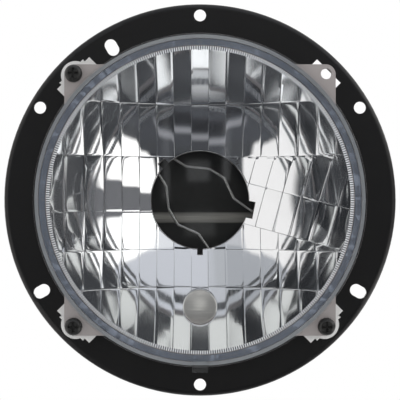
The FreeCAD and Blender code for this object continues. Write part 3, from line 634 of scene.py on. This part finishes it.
def mirror_coat():
    """All facets of the mirror: the upright columns, then the turned ones on the right."""
    coat = Coat()
    for column in range(-LAST_COLUMN, LAST_COLUMN + 1):
        nearest = max(abs(column) - 0.5, 0.0) * COLUMN
        reach = math.sqrt(APERTURE_R ** 2 - nearest * nearest)
        beside = abs(column) >= BESIDE
        if column <= -BESIDE:
            coat.facet(column, -CUT_OFF, min(ROW_SIDE, reach), 0)
        if reach > ROW_SIDE:
            foot = None if beside else middle_line
            coat.facet(column, ROW_SIDE, min(ROW_TOP, reach), 1, floor=foot)
        if reach > ROW_TOP:
            coat.facet(column, ROW_TOP, reach, 2)
        if beside:
            edge = sector_line if column > 0 else None
            coat.facet(column, -min(ROW_MID, reach), -CUT_OFF, 1, ceiling=edge)
        if reach > ROW_MID:
            head = None if beside else middle_line
            coat.facet(column, -min(ROW_LOW, reach), -ROW_MID, 0, ceiling=head)
        if reach > ROW_LOW:
            coat.facet(column, -reach, -ROW_LOW, 1)
    for column in range(1, LAST_COLUMN + 1):
        nearest = (column - 0.5) * COLUMN
        reach = math.sqrt(APERTURE_R ** 2 - nearest * nearest)
        if column >= BESIDE:
            coat.facet(column, -CUT_OFF, min(ROW_SECTOR, reach), 0, SECTOR)
        top = min(sector_top(column * COLUMN), reach)
        if top > ROW_SECTOR:
            coat.facet(column, ROW_SECTOR, top, 1, SECTOR, ceiling=sector_top)
    smooth = [True] * len(coat.faces)
    piece = add_piece("mirror_coat", coat.spots, coat.faces, MIRROR, smooth, "lamp")
    cut_keys(piece)


def parking_disc():
    """The brushed face of the closed parking lamp seat, a little crowned."""
    edge = PARK_R - COAT
    run = []
    for radius in steps(TINY, edge, DISC_RINGS):
        crown = DISC_BULGE * (1 - (radius / edge) ** 2)
        run.append((radius, DISC_FACE_Y - COAT - crown - 2 * ridge(edge - radius)))
    spots, faces, smooth = turned([(run, True)], DISC_SIDES)
    spots = [(x, y - DISC_LEAN * (1 + z / PARK_R), z + PARK_Z) for x, y, z in spots]
    disc = add_piece("parking_disc", spots, faces, BRUSHED, smooth, "lamp")


def add_piece(name, spots, faces, material, smooth, body):
    """A new piece that rides on a body of the frame."""
    mesh = bpy.data.meshes.new(name)
    mesh.from_pydata(spots, [], faces)
    mesh.polygons.foreach_set("use_smooth", smooth)
    mesh.materials.append(material)
    piece = bpy.data.objects.new(name, mesh)
    bpy.context.collection.objects.link(piece)
    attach(piece, body)
    return piece


def turned(runs, count):
    """Strips turned about Y. Each run is a smooth or plain stretch of (radius, depth) places."""
    spots, faces, smooth = [], [], []
    for run, is_smooth in runs:
        base = len(spots)
        for radius, y in run:
            for index in range(count):
                angle = 2 * math.pi * index / count
                spots.append((radius * math.cos(angle), y, radius * math.sin(angle)))
        for row in range(len(run) - 1):
            for index in range(count):
                after = (index + 1) % count
                first, second = base + row * count, base + (row + 1) * count
                faces.append((first + index, first + after, second + after, second + index))
                smooth.append(is_smooth)
    return spots, faces, smooth


def dome(edge_r, edge_y, top_y, count):
    """Places on a ball's cap from its top to its edge."""
    rise = edge_y - top_y
    ball_r = (edge_r * edge_r + rise * rise) / (2 * rise)
    places = []
    for index in range(count + 1):
        radius = max(edge_r * index / count, TINY)
        places.append((radius, top_y + ball_r - math.sqrt(ball_r * ball_r - radius * radius)))
    return places


def cut_keys(piece):
    """Opens the notches for the bulb's lugs in the coat."""
    mesh = bmesh.new()
    mesh.from_mesh(piece.data)
    for angle, width in KEYS:
        turn = math.radians(angle)
        out = Vector((math.cos(turn), 0.0, math.sin(turn)))
        along = Vector((-math.sin(turn), 0.0, math.cos(turn)))
        sides = ((along * width / 2, along), (along * width / -2, along), (out * KEY_END_R, out))
        for place, normal in sides:
            near = []
            for face in mesh.faces:
                if BULB_R / 2 < face.calc_center_median().dot(out) < BULB_R + width:
                    near.append(face)
            edges = {edge for face in near for edge in face.edges}
            corners = {corner for face in near for corner in face.verts}
            bmesh.ops.bisect_plane(
                mesh, geom=[*near, *edges, *corners], dist=TOUCHING, plane_co=place, plane_no=normal
            )
        inside = []
        for face in mesh.faces:
            centre = face.calc_center_median()
            if 0 < centre.dot(out) < KEY_END_R and abs(centre.dot(along)) < width / 2:
                inside.append(face)
        bmesh.ops.delete(mesh, geom=inside, context="FACES")
    mesh.to_mesh(piece.data)
    mesh.free()


def visual_lens():
    """The clear lens: dome, fine rings on the rim, bevel, back and the tab against turning."""
    rim = [(STEP_OUT_R, LENS_RIM)]
    for radius in RIM_RINGS:
        rim += [
            (radius - RIM_RING_W, LENS_RIM),
            (radius, LENS_RIM + RIM_RING_DEEP),
            (radius + RIM_RING_W, LENS_RIM),
        ]
    rim += [
        (LENS_LIP_R - LENS_BEVEL, LENS_RIM),
        (LENS_LIP_R, LENS_RIM + LENS_BEVEL),
        (LENS_LIP_R, LENS_LIP_BACK),
        (LENS_FOOT_R, LENS_LIP_BACK),
        (LENS_FOOT_R, LENS_BACK),
        (LENS_ROOT_R, LENS_BACK),
        (LENS_IN_R, LENS_STEP + LENS_T),
    ]
    inside = dome(LENS_IN_R, LENS_STEP + LENS_T, LENS_TOP + LENS_T, DOME_RINGS_IN)
    outside = dome(STEP_IN_R, LENS_STEP, LENS_TOP, DOME_RINGS_OUT)
    spots, faces, smooth = turned([(outside, True), (rim, False), (inside[::-1], True)], LENS_SIDES)
    base = len(spots)
    for y in (TAB_BACK, TAB_FRONT):
        spots += [(-TAB_HALF, y, -TAB_R), (TAB_HALF, y, -TAB_R)]
        spots += [(TAB_HALF, y, -TAB_IN_R), (-TAB_HALF, y, -TAB_IN_R)]
    for face in BOX_FACES:
        faces.append(tuple(base + corner for corner in face))
        smooth.append(False)
    lens = add_piece("clear_lens", spots, faces, LENS, smooth, "lamp")
    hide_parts("lens")


def serrations():
    """Fine radial teeth on the step between the dome and the rim, their faces painted alternately with
    bright glints and dark shade.
    """
    spots, faces = [], []
    count = 2 * TEETH
    for radius, y in ((STEP_IN_R, LENS_STEP), (STEP_OUT_R, LENS_RIM)):
        for index in range(count):
            angle = 2 * math.pi * index / count
            out = radius - (TOOTH if index % 2 else 0.0)
            spots.append((out * math.cos(angle), y, out * math.sin(angle)))
    for index in range(count):
        after = (index + 1) % count
        faces.append((index, after, count + after, count + index))
    teeth = add_piece("lens_serrations", spots, faces, TOOTH_PAINTED_GLINT, [False] * len(faces), "lamp")
    # Every other tooth face gets the painted glint, the rest the painted shade.
    teeth.data.materials.append(TOOTH_PAINTED_SHADE)
    for polygon in teeth.data.polygons:
        polygon.material_index = polygon.index % 2


mirror_coat()
parking_disc()
visual_lens()
serrations()

# The studio as the mirror sees it: colour, then the ranges of direction along X, Y and Z that it fills.
# Later lights lie over earlier ones. A range of None is open to all directions.
FRONT_HALF = (-2.0, 0.2)
BACK_HALF = (0.2, 2.0)
AHEAD = (-2.0, -0.5)
OVERHEAD = (0.6, 2.0)
ROOM = (0.06, 0.062, 0.067)
STUDIO = [
    ("backdrop", (0.8, 0.8, 0.8), None, BACK_HALF, None),
    ("dark_corner", (0.03, 0.031, 0.034), (0.05, 0.6), FRONT_HALF, (-0.6, 0.05)),
    ("ground", (0.065, 0.067, 0.075), None, FRONT_HALF, (-2.0, -0.68)),
    ("ground_strip", (0.28, 0.28, 0.3), (-0.5, 0.5), FRONT_HALF, (-0.82, -0.78)),
    ("ground_shadow", (0.025, 0.025, 0.028), (-0.5, 0.5), FRONT_HALF, (-0.91, -0.84)),
    ("ground_edge", (0.6, 0.6, 0.61), (-0.5, 0.5), FRONT_HALF, (-1.1, -0.97)),
    ("ceiling", (0.68, 0.69, 0.74), None, FRONT_HALF, OVERHEAD),
    ("ceiling_middle", (0.6, 0.61, 0.65), (-0.75, -0.1), FRONT_HALF, OVERHEAD),
    ("ceiling_side", (0.53, 0.54, 0.57), (-0.75, -0.19), FRONT_HALF, OVERHEAD),
    ("ceiling_left", (0.46, 0.47, 0.5), (-0.75, -0.28), FRONT_HALF, OVERHEAD),
    ("ceiling_corner_left", (0.62, 0.62, 0.65), (-0.66, -0.36), FRONT_HALF, (0.4, 0.62)),
    ("ceiling_corner_right", (0.9, 0.9, 0.93), (0.36, 0.66), FRONT_HALF, (0.4, 0.62)),
    ("left_screen", (1.02, 0.99, 0.98), (-0.95, -0.6), None, (-0.66, 0.62)),
    ("right_wall", (0.16, 0.16, 0.17), (0.6, 2.0), None, (-0.6, 0.62)),
    ("right_upper_screen", (1.6, 1.57, 1.55), (0.6, 0.95), None, (0.17, 0.62)),
    ("right_lower_screen", (1.5, 1.46, 1.43), (0.6, 0.95), None, (-0.6, -0.16)),
    ("front_left_strip", (1.4, 1.4, 1.4), (-0.19, -0.165), AHEAD, (0.0, 0.5)),
    ("front_right_strip", (1.6, 1.6, 1.6), (0.12, 0.155), AHEAD, (0.1, 0.42)),
    ("front_window", (0.85, 0.85, 0.83), (-0.08, 0.08), AHEAD, (-0.19, -0.06)),
    ("front_lamp", (1.3, 1.3, 1.3), (-0.07, 0.05), AHEAD, (0.1, 0.205)),
]
SOFT_EDGE = 0.02


def edge_of(tree, direction, low, high):
    """A soft step from 0 to 1 between two directions."""
    node = tree.nodes.new("ShaderNodeMapRange")
    node.interpolation_type = "SMOOTHSTEP"
    node.inputs["From Min"].default_value = low
    node.inputs["From Max"].default_value = high
    link(tree, direction, node.inputs["Value"])
    return node.outputs["Result"]


def window(tree, direction, low, high):
    """1 inside a range of directions and 0 outside, with soft edges."""
    rise = edge_of(tree, direction, low - SOFT_EDGE, low + SOFT_EDGE)
    fall = edge_of(tree, direction, high + SOFT_EDGE, high - SOFT_EDGE)
    return combine(tree, "MULTIPLY", rise, fall)


def studio():
    """White behind the lamp for the camera, and a studio of soft lights for everything else."""
    world = bpy.data.worlds.new("studio")
    bpy.context.scene.world = world
    world.use_nodes = True
    tree = world.node_tree
    tree.nodes.clear()
    output = tree.nodes.new("ShaderNodeOutputWorld")
    background = tree.nodes.new("ShaderNodeBackground")
    place = tree.nodes.new("ShaderNodeTexCoord")
    split = tree.nodes.new("ShaderNodeSeparateXYZ")
    link(tree, place.outputs["Generated"], split.inputs["Vector"])
    room = None
    for name, colour, *ranges in STUDIO:
        inside = 1.0
        for direction, span in zip(split.outputs, ranges):
            if span:
                inside = combine(tree, "MULTIPLY", inside, window(tree, direction, *span))
        layer = tree.nodes.new("ShaderNodeMix")
        layer.name = name
        layer.data_type = "RGBA"
        link(tree, inside, layer.inputs["Factor"])
        if room is None:
            layer.inputs["A"].default_value = (*ROOM, 1.0)
        else:
            link(tree, room, layer.inputs["A"])
        layer.inputs["B"].default_value = (*colour, 1.0)
        room = layer.outputs["Result"]
    path = tree.nodes.new("ShaderNodeLightPath")
    seen = tree.nodes.new("ShaderNodeMix")
    seen.data_type = "RGBA"
    link(tree, path.outputs["Is Camera Ray"], seen.inputs["Factor"])
    link(tree, room, seen.inputs["A"])
    seen.inputs["B"].default_value = WHITE
    link(tree, seen.outputs["Result"], background.inputs["Color"])
    link(tree, background.outputs["Background"], output.inputs["Surface"])


def floor():
    """Pale floor well below the lamp, white to the camera."""
    bpy.ops.mesh.primitive_plane_add(size=FLOOR_SIZE, location=(0.0, 0.0, FLOOR_Z))
    plane = bpy.context.object
    plane.name = "floor"
    plane.visible_glossy = False
    material, tree, output = new_material("floor")
    glow = tree.nodes.new("ShaderNodeEmission")
    diffuse = tree.nodes.new("ShaderNodeBsdfDiffuse")
    diffuse.inputs["Color"].default_value = FLOOR_PALE
    path = tree.nodes.new("ShaderNodeLightPath")
    mix = tree.nodes.new("ShaderNodeMixShader")
    link(tree, path.outputs["Is Camera Ray"], mix.inputs["Fac"])
    link(tree, diffuse.outputs["BSDF"], mix.inputs[1])
    link(tree, glow.outputs["Emission"], mix.inputs[2])
    link(tree, mix.outputs["Shader"], output.inputs["Surface"])
    plane.data.materials.append(material)


def fill_light():
    """A soft lamp beside the camera that lights the dull surfaces and isn't seen in the shiny ones."""
    data = bpy.data.lights.new("fill", "AREA")
    data.size = FILL_SIZE
    data.energy = FILL_POWER
    fill = bpy.data.objects.new("fill", data)
    fill.location = FILL_PLACE
    fill.rotation_euler = (-FILL_PLACE).to_track_quat("-Z", "Y").to_euler()
    fill.visible_glossy = False
    bpy.context.collection.objects.link(fill)


def camera():
    """Straight in front of the ring, which is as wide in the picture as in the photo."""
    data = bpy.data.cameras.new("camera")
    data.sensor_width = SENSOR
    ring_width = CAD_HIGH.x - CAD_LOW.x
    picture_width = ring_width * PHOTO_PIXELS / RING_PIXELS
    data.lens = SENSOR * (CAMERA_AWAY + RING_FACE_Y) / picture_width
    eye = bpy.data.objects.new("camera", data)
    eye.location = (0.0, -CAMERA_AWAY, 0.0)
    eye.rotation_euler = (math.radians(90), 0.0, 0.0)
    bpy.context.collection.objects.link(eye)
    bpy.context.scene.camera = eye


studio()
floor()
fill_light()
camera()
bpy.context.scene.view_settings.view_transform = "Standard"
